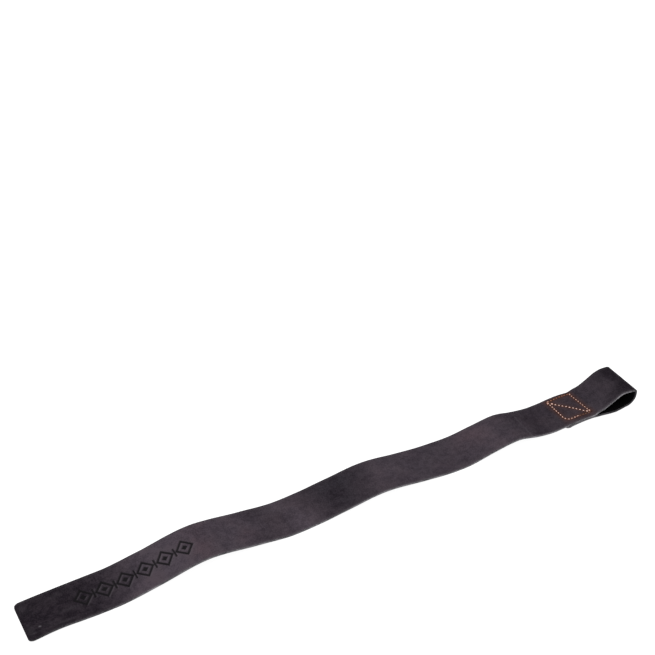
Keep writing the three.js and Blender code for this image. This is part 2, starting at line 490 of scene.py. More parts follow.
def flat_strip():
    """(s, across, depth) of the whole grid. The half width follows a quarter circle at the cut
    corners, and the edge radius shrinks over the rounded tips. The cut edges wander a little: slow
    and fine humps, where each edge reads its own row of them, move a narrow band inwards."""
    to_end = np.minimum(rows, CUT_LENGTH - rows)[:, None]
    short = np.maximum(CORNER_RADIUS - to_end, 0)
    half = STRAP_WIDTH / 2 - CORNER_RADIUS + np.sqrt(CORNER_RADIUS**2 - short**2)
    tip = np.clip(1 - to_end / END_ROUNDING, 0, 1)
    inset = END_ROUNDING * (1 - np.sqrt(1 - tip**2))
    turn = EDGE_RADIUS - inset
    across = share * (half - EDGE_RADIUS) + cosine * turn
    depth = level * (HALF_THICKNESS - EDGE_RADIUS) + sine * turn
    s = np.broadcast_to(rows[:, None], across.shape)
    edge = np.sign(across)
    on_edge = soft_step(np.abs(across) - STRAP_WIDTH / 2 + CUT_BAND, CUT_BAND)
    slow = humps(s, edge * 3 + 0.5, long=9 * MM, wide=1, seed=11)
    fine = humps(s, edge * 5 + 0.5, long=2.6 * MM, wide=1, seed=12)
    across = across - edge * on_edge * UNEVEN_CUT * (0.5 + 0.5 * (slow + FINE_WANDER * fine))
    return s, across, depth


strip_s, strip_across, strip_depth = flat_strip()

# %% [markdown]
# ## How use has set the strap
#
# The curve in the side view is the same right across the strap, but real leather isn't so even.
# The near corner of the free end has curled up a little, and its cut is a little off square.
# Along the waves one edge stands up to a millimetre and a half higher than the other. The sewn
# patch is stiff, so it stands a millimetre off the table. The loop's far side stands higher than
# its near side, its top leans back over its foot, and its outer end is a little askew. The near
# edge of the end that is folded under wanders in and out by a table of its own. These are small
# shifts, worked out from the flat coordinates too, so the thread takes part in them. The tables
# are in mm, and the first one is read along a smooth curve.

# %% Curl, sway, lift, lean and skew
CURL_MIDDLE = 22 * MM
CURL_REACH = 19 * MM
CURL_HEIGHT = 1.7 * MM
END_SKEW = 0.2 * MM
END_TAPER = 60 * MM
LOOP_LEAN = 2.0 * MM
LEAN_BALANCE = 0.45
LOOP_SKEW = 0.55 * MM
FOLD_ROUND = 14 * MM
SETTLED = np.array(
    [
        (0, -1.0, 0, 0.6), (20, -0.5, 0, 0.3), (66, -0.5, 0, 0), (98, -0.1, 0, 0), (150, 0, 0, 0),
        (215, 0, 0.4, -0.3), (340, 0, 0.3, -0.1), (360, 0, 0.8, -0.4), (376, 0, 0.7, -0.3),
        (392, 0, 0, 0.5), (412, 0, -0.4, 1.1), (432, 0, -0.6, 0.7), (452, 0, -0.2, 0.5),
        (468, 0, -0.1, 0.6), (482, 0, -0.9, 0), (494, 0, 0.2, 1.0), (508, 0, 1, 1.6),
        (520, 0, -0.3, 1.0), (534, 0, -1.2, 0.9), (546, 0, -0.3, 1.0), (556, 0, 1.1, 0.5),
        (575, 0, 2.0, -0.3),
    ],
    dtype=[("along", float), ("side", float), ("far", float), ("near", float)],
)
UNDER = np.array(
    [
        (486, -0.9, 0.9), (492, 0.3, 0.3), (499, 0.6, 0), (508, 0.7, 0), (517, 0.9, 0),
        (526, 0.2, 0), (534, -0.8, 0), (541, -1.2, 0), (547, -0.3, 0), (553, 0.8, 0), (562, 0.9, 0),
    ],
    dtype=[("along", float), ("side", float), ("skew", float)],
)
settled_rows = np.stack([SETTLED[column] for column in SETTLED.dtype.names], axis=1)
settled_along, settled_side, settled_far, settled_near = (catmull_rom(settled_rows) * MM).T


def read_mm(table, column, along):
    """A column of a table in mm, at distances along the table that the strap lies on."""
    return np.interp(along / MM, table["along"], table[column]) * MM


def set_by_use(s, across):
    """Shift of each point along, sideways and up. The sway is read from the table. The curl is a
    bell along the strip times the square of the distance from the far edge. The lift is read from
    the table for the two edges and shared out between them. In the loop the lift goes with the
    height, and the lean with the height above or below its balance. Skew moves the two edges along
    by the same amount in opposite ways: at the free end, in the loop and under the seam. The
    wander of the end folded under grows round the fold, and is all on its near edge."""
    share = 0.5 + across / STRAP_WIDTH
    along = np.interp(s, line_s, line[:, 0])
    height = np.interp(s, line_s, line[:, 1]) / LOOP_HEIGHT
    in_loop = grow((along - PINCH_LINE) / LOOP_LENGTH)
    folded_under = grow((s - line_s[outermost]) / FOLD_ROUND)
    curl = CURL_HEIGHT * bell((s - CURL_MIDDLE) / CURL_REACH) * (1 - share) ** 2
    sway = np.interp(along, settled_along, settled_side)
    far = np.interp(along, settled_along, settled_far)
    near = np.interp(along, settled_along, settled_near)
    lift = (far * share + near * (1 - share)) * (1 - in_loop + in_loop * height)
    lean = LOOP_LEAN * in_loop * (LEAN_BALANCE - height)
    wander = folded_under * read_mm(UNDER, "side", along) * (1 - share)
    skew = END_SKEW * np.clip(1 - s / END_TAPER, 0, 1) + LOOP_SKEW * in_loop
    skew = skew + folded_under * read_mm(UNDER, "skew", along)
    return np.stack([lean + (2 * share - 1) * skew, sway + wander, curl + lift], axis=-1)


most = np.abs(set_by_use(strip_s, strip_across)).max(axis=(0, 1))
print("most that use has shifted the strap, mm:", np.round(most / MM, 2).tolist())


def put(s, across, depth):
    """Points in the scene: laid out, moved to the strap's place, set by use and kept on the table."""
    points = lay(s, across, depth) + PLACE + set_by_use(s, across)
    points[..., 2] = np.maximum(points[..., 2], node_low[2])
    return points


# %% [markdown]
# ## Press the marks in
#
# The marks belong to the smooth side only, so their depths fade out round the edges, by how far
# the surface faces up. Where the tools went in, the leather beside the mark has swelled into a low
# rim. The smooth side is also a little uneven by itself, the suede side is fuzzy, and the cut
# edges show their fibres.

# %% Press the marks into the strip
FACING = 0.5
FACING_SOFT = 0.45
SEAM_REACH = 4 * MM
BARELY_TOP = 0.2
UNEVEN_TOP = 0.10 * MM
UNEVEN_FINE = 0.03 * MM
FIBRE = 0.035 * MM

is_top = soft_step(sine - FACING, FACING_SOFT)[None, :] * np.ones_like(strip_s)
is_under = soft_step(-sine - FACING, FACING_SOFT)[None, :] * np.ones_like(strip_s)
is_wall = 1 - np.clip(is_top + is_under, 0, 1)
pressed = border_mark(strip_s, strip_across) * is_top
folded = fold_mark(strip_s, strip_across) * is_top
holes = np.zeros_like(strip_s)
dents = np.zeros_like(strip_s)
stained = np.zeros_like(strip_s)
along_table = np.interp(strip_s, line_s, line[:, 0])
near_seam = (along_table > SEAM_START - SEAM_REACH) & (along_table < SEAM_END + SEAM_REACH)
near_seam &= is_top > BARELY_TOP
dents[near_seam], holes[near_seam], stained[near_seam] = seam_dents(
    along_table[near_seam], strip_across[near_seam]
)

# The rim beside each mark is real shape; the finish also paints a highlight on it.
shadowed = border_mark(strip_s - RIM_SHIFT[0], strip_across - RIM_SHIFT[1]) * is_top
raised = np.clip(shadowed - pressed, 0, 1)
relief = -PRESS_DEPTH * pressed + RIM_HEIGHT * raised + FOLD_HEIGHT * folded - dents
relief += is_top * UNEVEN_TOP * humps(strip_s, strip_across, long=21 * MM, wide=13 * MM, seed=21)
relief += is_top * UNEVEN_FINE * humps(strip_s, strip_across, long=6 * MM, wide=5 * MM, seed=22)
fuzz = humps(strip_s, strip_across, long=1.3 * MM, wide=1.1 * MM, seed=23)
relief += is_under * FIBRE * (1 + fuzz)
fibres = humps(strip_s, strip_depth, long=1.1 * MM, wide=0.5 * MM, seed=24)
relief += is_wall * np.sign(strip_depth) * FIBRE * fibres
strip_points = put(strip_s, strip_across, strip_depth + relief)
print("deepest mark, mm:", round(float(-relief.min()) / MM, 2))

# %% [markdown]
# ## Painted light along the waves, wax and handling
#
# Waxed leather is never quite of one colour: a few patches are paler, some are warmer, and the free
# end is scuffed, as it does the pulling. A table by distance paints the light and shade that the
# waves take, as paler and darker stretches, and slow humps shift it so that no edge of a stretch is
# straight. Single patches and scuffs are bells with a length and a width, in mm. All this goes to
# the finishes as numbers on the mesh.


# %% Painted light and shade along the waves
TONE_SHIFT = 7 * MM
# The table paints the light and shade that the waves take, as paler and darker stretches.
PAINTED_LIGHT_TONES = np.array(
    [
        (0, 0), (54, 0.05), (82, 0.56), (94, 0.86), (106, 0.92), (120, 1), (142, 0.74), (154, 0.72),
        (170, 0.78), (180, 0.7), (191, 0.45), (204, 0.46), (220, 0.75), (236, 0.4), (252, 0.28),
        (272, 0.21), (286, 0.34), (302, 0.6), (370, 0.56), (412, 0.8), (456, 0.23), (472, 0.33),
        (535, 0.4), (556, 0),
    ],
    dtype=[("along", float), ("tone_and_painted_light", float)],
)


def painted_light_of(s, across):
    """Painted light and shade along the waves, from 0 to 1: a line through the rows of
    the table, read at places that slow humps have shifted along the strap."""
    shift = TONE_SHIFT * humps(s, across, long=24 * MM, wide=15 * MM, seed=31)
    along = np.interp(s, line_s, line[:, 0]) / MM
    return np.interp(along + shift / MM, PAINTED_LIGHT_TONES["along"], PAINTED_LIGHT_TONES["tone_and_painted_light"])


def bells(table, s, across):
    """For each row of a table a bell of height 1 with its own place, length and width."""
    ds = (s[..., None] / MM - table["along"]) / table["long"]
    dv = (across[..., None] / MM - table["across"]) / table["wide"]
    return np.exp(-(ds**2) - dv**2)


# %% Patches of wax along the strap and scuffs on the free end
PATCHES = np.array(
    [
        (92, -15, 14, 8, 0.15, 0), (140, 0, 9, 24, 0, 0.5), (178, -8, 9, 10, 0, 0.45),
        (220, -13, 15, 10, 0.26, 0), (264, 6, 17, 16, -0.1, -0.5), (312, 2, 18, 10, 0.15, 0),
        (404, 0, 19, 20, 0, 0.45),
    ],
    dtype=[("along", float), ("across", float), ("long", float), ("wide", float),
           ("lighter", float), ("warmer", float)],
)
SCUFFS = np.array(
    [
        (10.6, -11.0, 0.6, 0.7, 2.8), (5, -15, 2.2, 0.7, 0.6), (34, -6, 9, 1.6, 0.3),
        (18, -12, 7, 1.2, 0.22), (5, 13, 3, 5, 0.25), (3.5, -12, 2.2, 5, 0.3),
        (30, 12, 10, 1.6, 0.16), (26, -16, 9, 1.2, 0.25),
    ],
    dtype=[("along", float), ("across", float), ("long", float), ("wide", float), ("strength", float)],
)
EVEN_WARMTH = 0.45
UNEVEN_WARMTH = 0.15


def warmth_of(s, across):
    """How reddish the wax is, from 0 to 1: even, with the table's patches and slow humps."""
    patches = (PATCHES["warmer"] * bells(PATCHES, s, across)).sum(axis=-1)
    slow = humps(s, across, long=19 * MM, wide=12 * MM, seed=33)
    return np.clip(EVEN_WARMTH + patches + UNEVEN_WARMTH * slow, 0, 1)


lighter = (PATCHES["lighter"] * bells(PATCHES, strip_s, strip_across)).sum(axis=-1)
# Painted light and shade of the waves, plus real paler patches of wax.
tone_and_painted_light = painted_light_of(strip_s, strip_across) + lighter
warmth = warmth_of(strip_s, strip_across)
scuffed = (SCUFFS["strength"] * bells(SCUFFS, strip_s, strip_across)).max(axis=-1)
print("tone, least and most:", np.round([tone_and_painted_light.min(), tone_and_painted_light.max()], 2).tolist())

# %% Where the cut edge is bare, and the painted light and shade by the rims
RIM_WIDTH = 0.6 * MM
FAR_HIGHLIGHT_INSET = 1.7 * MM
FAR_HIGHLIGHT_SHARE = 0.16
BARE = np.array(
    [
        (0, 0.12), (22, 0.2), (60, 0.36), (90, 0.6), (512, 0.6), (526, 0.9), (558, 0.8),
        (574, 0.1), (610, 0.12), (640, 0.5), (660, 0.5),
    ],
    dtype=[("s", float), ("share", float)],
)

bare = np.interp(strip_s / MM, BARE["s"], BARE["share"])
to_edge = STRAP_WIDTH / 2 - np.abs(strip_across)
# Painted highlight along the near rim and just inside the far rim, and painted shade on the far rim
# itself.
rim = np.exp(-to_edge / RIM_WIDTH) * is_top
far_inner_highlight = FAR_HIGHLIGHT_SHARE * bell((to_edge - FAR_HIGHLIGHT_INSET) / RIM_WIDTH) * is_top
rim_highlights = rim * bare * (strip_across < 0) + far_inner_highlight * (strip_across > 0)
print("palest stretch of the cut edge, mm:", BARE["s"][np.argmax(BARE["share"])])

# %% [markdown]
# ## Make the strap's mesh
#
# Blender takes a mesh as flat lists: places, then the corners of every face one after another.
# Whole numpy arrays go in at once with foreach_set, which is far quicker than point by point. The
# grid closes on itself round the section, and one many-sided face closes each cut end. Everything
# that the finishes need to know about a place goes in beside it as an attribute.


# %% Helpers that make a mesh from arrays
def grid_faces(count_rows, count_columns):
    """Quads of a grid that closes on itself across its columns, wound so that they face out."""
    row = np.arange(count_rows - 1)[:, None] * count_columns
    column = np.arange(count_columns)[None, :]
    following = (column + 1) % count_columns
    quads = np.stack(
        [row + column, row + following, row + count_columns + following, row + count_columns + column],
        axis=-1,
    )
    return quads.reshape(-1, 4)


def new_mesh(name, points, quads, caps=(), attributes=None):
    """A smooth mesh object from arrays: quads, then one flat many-sided face for each cap, and
    one number a point for each attribute."""
    mesh = bpy.data.meshes.new(name)
    mesh.vertices.add(len(points))
    mesh.vertices.foreach_set("co", points.astype(np.float32).ravel())
    corners = np.concatenate([quads.ravel(), *caps]).astype(np.int32)
    totals = np.concatenate([np.full(len(quads), 4), [len(cap) for cap in caps]]).astype(np.int32)
    mesh.loops.add(len(corners))
    mesh.loops.foreach_set("vertex_index", corners)
    mesh.polygons.add(len(totals))
    mesh.polygons.foreach_set("loop_start", np.concatenate([[0], np.cumsum(totals)[:-1]]).astype(np.int32))
    mesh.polygons.foreach_set("loop_total", totals)
    mesh.update(calc_edges=True)
    mesh.shade_smooth()
    for key, values in (attributes or {}).items():
        layer = mesh.attributes.new(key, "FLOAT", "POINT")
        layer.data.foreach_set("value", values.astype(np.float32).ravel())
    made = bpy.data.objects.new(name, mesh)
    bpy.context.scene.collection.objects.link(made)
    return made


# %% The strap as a mesh
first_cap = np.arange(len(share))[::-1]
last_cap = (len(rows) - 1) * len(share) + np.arange(len(share))
strap = new_mesh(
    "leather_strip",
    strip_points.reshape(-1, 3),
    grid_faces(len(rows), len(share)),
    caps=(first_cap, last_cap),
    attributes={
        "pressed": pressed,
        "folded": folded,
        "holes": np.minimum(holes, 1),
        "stained": stained,
        "raised": raised,
        "scuffed": scuffed * is_top,
        "bare": bare,
        "warmth": warmth,
        # painted highlight along the rims, and painted shade on the far rim
        "rim_highlights": rim_highlights,
        "far_rim_shade": rim * (strip_across > 0),
        "tone_and_painted_light": tone_and_painted_light,
    },
)
print("strap faces:", len(strap.data.polygons))

# %% [markdown]
# ## A map of the leather
#
# The grain has to follow the leather round the loop and over the edges, as if it had been there
# before the strip was folded. So the mesh carries its own map, in metres: how far along the strip
# and how far round its section. A pattern read from it has the same scale everywhere, and it
# doesn't slide when the part is moved.


# %% The map for the grain
def wrap_map(obj, along, around, closing, caps):
    """A UV map in metres: along the strip, and round its section. The last column of faces ends a
    whole way round from the first, at closing, so that nothing is squeezed where they meet."""
    quad_u = np.stack([along[:-1], along[:-1], along[1:], along[1:]], axis=-1)
    next_around = np.concatenate([around[:, 1:], around[:, :1] + closing], axis=1)
    quad_v = np.stack([around[:-1], next_around[:-1], next_around[1:], around[1:]], axis=-1)
    pairs = np.stack([quad_u, quad_v], axis=-1).reshape(-1, 2)
    flat = [np.stack([along.reshape(-1)[cap], around.reshape(-1)[cap]], axis=-1) for cap in caps]
    layer = obj.data.uv_layers.new(name="leather")
    layer.data.foreach_set("uv", np.concatenate([pairs, *flat]).astype(np.float32).ravel())


ring = np.stack([strip_across[len(rows) // 2], strip_depth[len(rows) // 2]], axis=1)
ring_steps = np.linalg.norm(np.roll(ring, -1, axis=0) - ring, axis=1)
ring_walk = np.concatenate([[0], np.cumsum(ring_steps)[:-1]])
girth = float(ring_steps.sum())
around = np.broadcast_to(ring_walk - STRAP_WIDTH / 2, strip_s.shape)
wrap_map(strap, strip_s, around, girth, (first_cap, last_cap))
print("distance round the section, mm:", round(girth / MM, 1))

# %% [markdown]
# ## The thread
#
# Bonded sewing thread is two or three yarns twisted together. Each stitch is a short hump: it
# comes up out of one needle hole, lies on the leather and dives into the next. All stitches are
# made at once, as one array of rings along the humps. The ring's radius swells and shrinks twice
# round, and that pattern turns along the stitch, so the twist of the yarns is real shape.

# %% One stitch: its hump, its taper and its twist
RINGS = 15
RING_POINTS = 12
TWISTS_PER_STITCH = 2.5
PLY = 0.13  # how far the yarns stand out, as a share of the radius
HUMP = 0.7  # under 1 flattens the half wave
BLUNT = 6  # the higher, the later the tips start to taper
TIP = 0.03  # radius left at the very tip, as a share

ring_at = np.linspace(0, 1, RINGS)
round_at = np.linspace(0, 2 * np.pi, RING_POINTS, endpoint=False)
hump = np.clip(np.sin(np.pi * ring_at), 0, 1) ** HUMP
taper = np.sqrt(np.clip(1 - np.abs(2 * ring_at - 1) ** BLUNT, 0, 1)) * (1 - TIP) + TIP
yarn = np.cos(2 * round_at[None, :] - 2 * np.pi * TWISTS_PER_STITCH * ring_at[:, None])
print("points of a stitch:", yarn.size)

# %% All stitches as arrays
SUNK = 1.3 * MM
TOP_PROUD = 0.45 * MM
UNDER_PROUD = -0.06 * MM
HAND = 0.07 * MM  # how far a stitch strays from its line
HAND_SEED = 5


def stitch_humps(s_of, proud):
    """Points of all the stitches on one layer, by stitch, ring and point round the ring. The
    middle runs straight from hole to hole and its height follows the hump, from sunk in the
    leather to proud of it, less the pull. Round it the radius is the taper times the yarns."""
    t = ring_at[None, :, None]
    first, last = stitches[:, 0], stitches[:, 1]
    astray = np.random.default_rng(HAND_SEED).normal(0, HAND, (len(stitches), 2))
    centre = first[:, None] * (1 - t) + last[:, None] * t + astray[:, None]
    run = last - first
    run = run / np.linalg.norm(run, axis=1)[:, None]
    sideways = np.stack([-run[:, 1], run[:, 0]], axis=1)
    rise = SUNK + proud - stitch_pull - THREAD_RADIUS
    lift = HALF_THICKNESS - SUNK + rise[:, None] * hump
    radius = THREAD_RADIUS * taper[:, None] * (1 + PLY * yarn)
    out = np.cos(round_at)[None, :] * radius
    up = np.sin(round_at)[None, :] * radius
    along = centre[:, :, None, 0] + sideways[:, None, None, 0] * out
    across = centre[:, :, None, 1] + sideways[:, None, None, 1] * out
    return put(s_of(along), across, lift[:, :, None] + up)


# The underside faces the other way, which would turn its stitches inside out. So the points of
# its rings are taken in reverse, and the yarns with them.
top_thread = stitch_humps(upper_s, TOP_PROUD)
under_thread = stitch_humps(lower_s, UNDER_PROUD)
thread_points = np.concatenate([top_thread, under_thread[:, :, ::-1]])
many = (len(stitches), 1, 1)
yarns = np.concatenate([np.tile(yarn, many), np.tile(yarn[:, ::-1], many)])
print("thread pieces:", len(thread_points))

# %% Make the thread's mesh
per_stitch = RINGS * RING_POINTS
starts = np.arange(len(thread_points)) * per_stitch
thread_quads = (starts[:, None, None] + grid_faces(RINGS, RING_POINTS)[None]).reshape(-1, 4)
ring_ids = np.arange(RING_POINTS)
thread_caps = [start + ring_ids[::-1] for start in starts]
thread_caps += [start + per_stitch - RING_POINTS + ring_ids for start in starts]
thread = new_mesh(
    "seam_thread",
    thread_points.reshape(-1, 3),
    thread_quads,
    caps=thread_caps,
    attributes={
        "yarn": yarns,
        "buried": np.broadcast_to((1 - hump)[:, None], yarns.shape),
        "pale": np.broadcast_to(np.tile(stitch_pale, 2)[:, None, None], yarns.shape),
    },
)
print("thread faces:", len(thread.data.polygons))


# %% Check which way the faces point
CUBIC_CM = 1e-6


def signed_volume(obj):
    """Volume inside a closed mesh: the sum of the small tetrahedra from the origin to each
    triangle. It is positive when the faces point outwards."""
    mesh = obj.data
    mesh.calc_loop_triangles()
    places = np.empty(len(mesh.vertices) * 3)
    mesh.vertices.foreach_get("co", places)
    corners = np.empty(len(mesh.loop_triangles) * 3, dtype=np.int32)
    mesh.loop_triangles.foreach_get("vertices", corners)
    a, b, c = places.reshape(-1, 3)[corners.reshape(-1, 3)].transpose(1, 0, 2)
    return float((a * np.cross(b, c)).sum() / 6)


for piece in (strap, thread):
    print(piece.name, "volume, cubic cm:", round(signed_volume(piece) / CUBIC_CM, 2))

# %% [markdown]
# ## Finishes
#
# A finish here is a small tree of shader nodes. Written out node by node it would be long, so one
# class wraps a socket and lets Python's own signs add the Math nodes: two noises multiplied are
# two noises with a star between them. Every other node comes from one method. Scales count the
# features in a metre of leather, because the map is in metres.


# %% Shader sums as Python sums
class Value:
    """A socket that Python can add to, take from and multiply, from either side."""

    def __init__(self, finish, socket):
        self.finish = finish
        self.socket = socket

    def __add__(self, other):
        return self.finish.math("ADD", self, other)

    def __radd__(self, other):
        return self.finish.math("ADD", other, self)

    def __sub__(self, other):
        return self.finish.math("SUBTRACT", self, other)

    def __rsub__(self, other):
        return self.finish.math("SUBTRACT", other, self)

    def __mul__(self, other):
        return self.finish.math("MULTIPLY", self, other)

    def __rmul__(self, other):
        return self.finish.math("MULTIPLY", other, self)


class Finish:
    """A material whose tree is built by calls. The settings of a node go in before its links."""

    def __init__(self, name, **constants):
        self.material = bpy.data.materials.new(name)
        self.material.use_nodes = True
        self.tree = self.material.node_tree
        self.shader = self.tree.nodes["Principled BSDF"]
        for key, value in constants.items():
            self.shader.inputs[key.replace("_", " ")].default_value = value

    def feed(self, socket, value):
        """Links a Value into a socket, or sets the socket to a plain number or colour."""
        if isinstance(value, Value):
            self.tree.links.new(value.socket, socket)
        else:
            socket.default_value = value

    def node(self, kind, settings, inputs, output=0):
        """A node of any kind: its settings, then its sockets by name or number."""
        made = self.tree.nodes.new(kind)
        for key, value in settings.items():
            setattr(made, key, value)
        for key, value in inputs.items():
            self.feed(made.inputs[key], value)
        return Value(self, made.outputs[output])

    def math(self, operation, a, b):
        """One sum of two values or numbers."""
        return self.node("ShaderNodeMath", {"operation": operation}, {0: a, 1: b})

    def attribute(self, name):
        """A number that the mesh carries at each point."""
        return self.node("ShaderNodeAttribute", {"attribute_name": name}, {}, output="Fac")

    def map(self, scale=(1, 1, 1), turn=0.0):
        """The leather's own map, stretched and turned."""
        uv = self.node("ShaderNodeUVMap", {"uv_map": "leather"}, {})
        placed = {"Vector": uv, "Scale": scale, "Rotation": (0, 0, turn)}
        return self.node("ShaderNodeMapping", {}, placed)

    def noise(self, where, scale, detail=3.0, rough=0.5, warp=0.0):
        """Cloudy noise around 0.5. Detail and rough add finer clouds, and warp swirls them."""
        inputs = {"Vector": where, "Scale": scale, "Detail": detail, "Roughness": rough}
        return self.node("ShaderNodeTexNoise", {"noise_dimensions": "2D"}, inputs | {"Distortion": warp})

    def cells(self, where, scale):
        """Distance to the nearest of many scattered points."""
        inputs = {"Vector": where, "Scale": scale}
        return self.node("ShaderNodeTexVoronoi", {"voronoi_dimensions": "2D"}, inputs, output="Distance")

    def ramp(self, value, low, high):
        """0 below low, 1 above high, smooth between."""
        ends = {"Value": value, "From Min": low, "From Max": high}
        return self.node("ShaderNodeMapRange", {"interpolation_type": "SMOOTHSTEP"}, ends)

    def mix(self, share, a, b):
        """A colour between a and b."""
        return self.node("ShaderNodeMix", {"data_type": "RGBA"}, {0: share, 6: a, 7: b}, output=2)

    def bump(self, height, distance, strength):
        """A normal tilted by the slopes of a height, where height 1 stands a distance out."""
        inputs = {"Height": height, "Distance": distance, "Strength": strength}
        return self.node("ShaderNodeBump", {}, inputs)

    def out(self, **sockets):
        """Feeds the shader's own sockets and hands the material over."""
        for key, value in sockets.items():
            self.feed(self.shader.inputs[key.replace("_", " ")], value)
        return self.material


# %% [markdown]
# ### The smooth side
#
# Waxed leather this dark is nearly black in itself. What the eye reads as charcoal is soft light
# on a fine, uneven surface, so the base colour stays low and the gloss is faint. The base colour
# goes from deep to pale by the painted light and shade of the waves. Three noises make the grain:
# wide clouds, a mottling and a fine speckle. They count for more where the painted light is
# brighter. Cells give the pores, which are only bump. The near rim has a painted highlight, the far
# one painted shade with a painted highlight just inside it, and the low rims beside the tooled marks
# have a painted highlight too. The thread's dye has run a little, the needle holes and trenches
# have painted shade, and the pressed border is darker and a little rougher.

# %% Smooth side
DEEP = (0.0026, 0.0003, 0.0032, 1)
PALE = (0.0560, 0.0440, 0.0575, 1)
WARM = (0.0610, 0.0350, 0.0420, 1)
COOL = (0.0370, 0.0360, 0.0440, 1)
# The near black below serves the darker pressed marks and the painted shade in holes and on the far rim.
PRESSED_DARK_AND_SHADE = (0.0016, 0.0010, 0.0018, 1)
# The pale grey below serves rubbed folds and scuffs, and painted highlights on the rims.
RUBBED_AND_HIGHLIGHT = (0.120, 0.108, 0.120, 1)
DYED = (0.0740, 0.0190, 0.0050, 1)
MOTTLE, CLOUDS, SPECKLE = 0.44, 0.32, 0.66  # weights of the three noises in the grain
DARKEST, BY_TONE = 0.10, 0.84  # share of the pale colour at tone 0, and what tone 1 adds
GRAIN_LEAST, GRAIN_BY_TONE = 0.28, 0.30  # the same for how much the grain shows
WAX_LEAST, WAX_BY_CLOUDS = 0.25, 0.3  # share of warm or cool wax in the pale colour
# Shares of the pale grey: folds and scuffs are rubbed, the rims and raised rims take a painted highlight.
RUBBED_FOLD, RAISED_HIGHLIGHT, RUBBED_SCUFF, RIM_HIGHLIGHT = 0.30, 0.22, 0.30, 0.75
# Shares of the near black: pressed marks, painted shade in holes and trenches, and on the far rim.
PRESSED_DARK, HOLE_SHADE, FAR_RIM_SHADE = 0.94, 0.9, 0.75
DYE_TAKEN = 0.55
GRAIN_HEIGHT = 0.11 * MM


def smooth_side():
    """The base colour goes from deep to pale by the painted light of the waves, paler patches and grain,
    then wear, painted highlights and painted shade are mixed over it.
    """
    f = Finish("waxed leather", IOR=1.45, Specular_IOR_Level=0.12)
    here, tone_and_painted_light, pressed = f.map(), f.attribute("tone_and_painted_light"), f.attribute("pressed")
    mottle = f.ramp(f.noise(here, scale=210, detail=5, rough=0.62), low=0.34, high=0.66)
    clouds = f.ramp(f.noise(here, scale=52, detail=3), low=0.36, high=0.64)
    speckle = f.ramp(f.noise(here, scale=880, detail=2, rough=0.7), low=0.3, high=0.7)
    wrinkles = f.noise(here, scale=430, detail=5, rough=0.65, warp=0.4)
    pores = f.ramp(f.cells(here, scale=1150), low=0.0, high=0.6)
    grain = MOTTLE * mottle + CLOUDS * clouds + SPECKLE * speckle - (MOTTLE + CLOUDS + SPECKLE) / 2
    light = DARKEST + BY_TONE * tone_and_painted_light + (GRAIN_LEAST + GRAIN_BY_TONE * tone_and_painted_light) * grain
    wax = f.mix(f.attribute("warmth"), COOL, WARM)
    pale = f.mix(WAX_LEAST + WAX_BY_CLOUDS * clouds, PALE, wax)
    # Rubbed folds and scuffs, with a painted highlight on the low rims beside the tooled marks.
    paling = RUBBED_FOLD * f.attribute("folded") * tone_and_painted_light + RAISED_HIGHLIGHT * f.attribute("raised")
    paling = paling + RUBBED_SCUFF * f.attribute("scuffed")
    # Painted shade in the needle holes and trenches, and the pressed border darker.
    pressed_dark_and_hole_shade = f.math("MAXIMUM", PRESSED_DARK * pressed, HOLE_SHADE * f.attribute("holes"))
    colour = f.mix(paling, f.mix(light, DEEP, pale), RUBBED_AND_HIGHLIGHT)
    # Painted highlight along the rims, then painted shade on the far rim.
    colour = f.mix(RIM_HIGHLIGHT * f.attribute("rim_highlights"), colour, RUBBED_AND_HIGHLIGHT)
    colour = f.mix(FAR_RIM_SHADE * f.attribute("far_rim_shade"), colour, PRESSED_DARK_AND_SHADE)
    colour = f.mix(DYE_TAKEN * f.attribute("stained"), colour, DYED)
    colour = f.mix(pressed_dark_and_hole_shade, colour, PRESSED_DARK_AND_SHADE)
    rough = 0.62 + 0.10 * wrinkles - 0.05 * clouds + 0.08 * pressed
    height = 0.45 * pores + 0.8 * wrinkles + 0.25 * speckle
    grained = f.bump(height, distance=GRAIN_HEIGHT, strength=0.65)
    return f.out(Base_Color=colour, Roughness=rough, Normal=grained)


# %% [markdown]
# ### The suede side and the cut edges
#
# Under the smooth skin leather is a felt of fibres. The suede side is darker and has no gloss,
# because light falls into the nap, and its colour is pushed near black as painted shade for the
# inside of the loop, where it shows. The cut edge shows the same fibres end on, and the dye has
# not gone all the way in, so it is the palest part of the strap. At the free end and under the
# loop wax has darkened it, which is what its attribute bare says.

# %% Suede side and cut edges
# Near black: the suede's own dark colour, pushed down as painted shade for the inside of the loop.
SUEDE_AND_LOOP_SHADE = (0.0016, 0.0014, 0.0019, 1)
NAP_AND_LOOP_SHADE = (0.0075, 0.0065, 0.0080, 1)
CUT_WAXED = (0.010, 0.008, 0.011, 1)
CUT_DARK = (0.070, 0.066, 0.073, 1)
CUT_PALE = (0.380, 0.360, 0.385, 1)
NAP_HEIGHT = 0.22 * MM
FIBRE_HEIGHT = 0.18 * MM
TUFT_STRETCH = (1, 0.45, 1)
TUFT_TURN = 0.5  # radians
FIBRE_SCALE = (420, 2600, 1)  # features in a metre, along the strip and round the section
BLOTCH_SCALE = (90, 90, 1)


def suede_side():
    """Dark felt, pushed near black as painted shade for the loop's inside, paler where its nap, wide
    patches and slanting tufts come together.
    """
    f = Finish("suede side", IOR=1.40, Specular_IOR_Level=0.08)
    patches = f.noise(f.map(), scale=60, detail=3)
    nap = f.noise(f.map(), scale=1900, detail=4, rough=0.75, warp=0.5)
    tufts = f.noise(f.map(TUFT_STRETCH, TUFT_TURN), scale=700, detail=3, rough=0.7)
    colour = f.mix(0.75 * nap * patches + 0.25 * tufts, SUEDE_AND_LOOP_SHADE, NAP_AND_LOOP_SHADE)
    fuzzy = f.bump(0.7 * nap + tufts, distance=NAP_HEIGHT, strength=0.9)
    return f.out(Base_Color=colour, Roughness=0.88 + 0.1 * nap, Normal=fuzzy)


